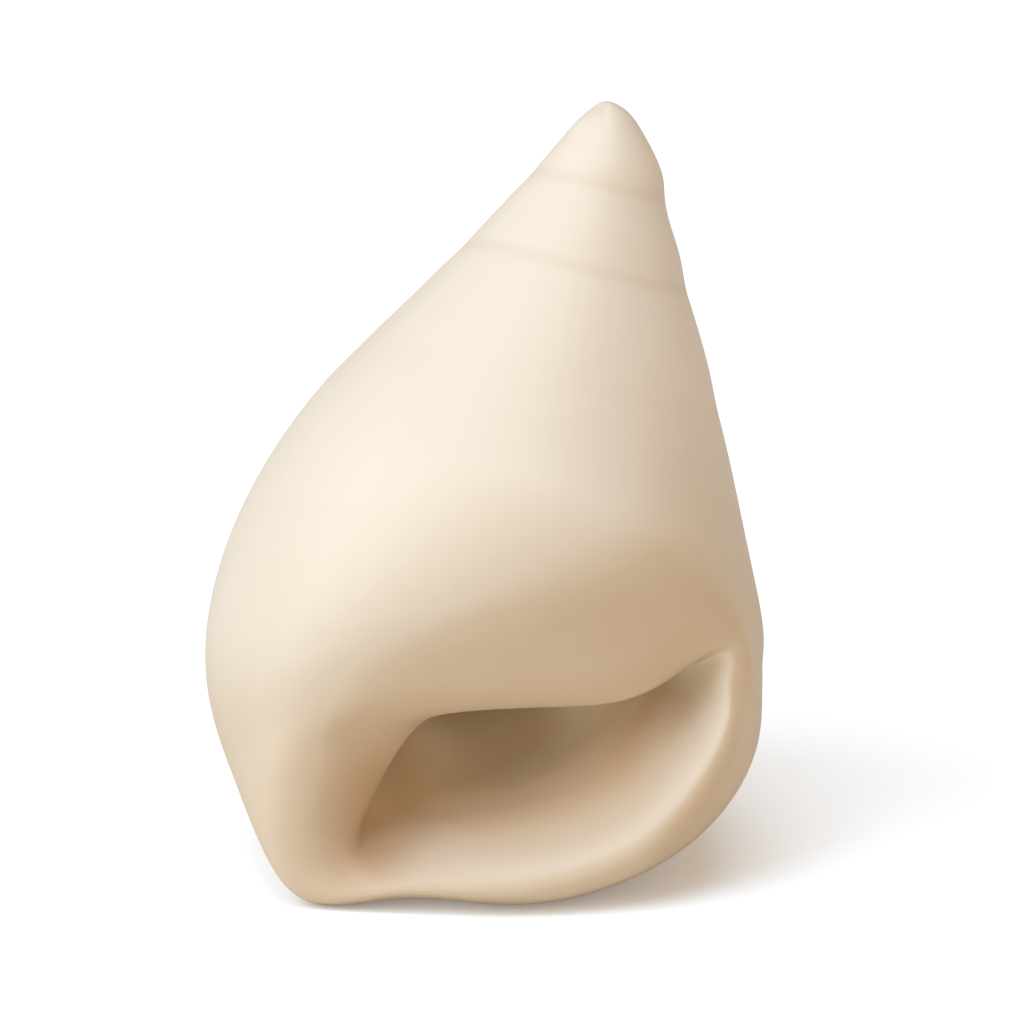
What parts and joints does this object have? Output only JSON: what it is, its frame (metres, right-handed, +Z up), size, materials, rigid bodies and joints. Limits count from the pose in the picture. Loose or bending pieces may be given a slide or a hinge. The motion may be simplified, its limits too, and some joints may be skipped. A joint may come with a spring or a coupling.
{
  "type": "hoof shell",
  "caption": "Smooth cream sea-snail shell with a tall blunt spire, a round body whorl and a wide, thick-lipped mouth that leads into a coiled hollow; stands on its foot.",
  "frame": {"origin": "on the floor, under the middle of the standing shell's bounding box", "axes": "+Z up; the mouth opens towards -Y; the spire leans towards +X and is laid back towards +Y"},
  "size_m": [0.0328, 0.0288, 0.0424],
  "materials": {
    "shell": "smooth satin cream, tan towards the base and brown inside the mouth"
  },
  "bodies": {
    "root": {"shell": "shell"}
  },
  "joints": []
}
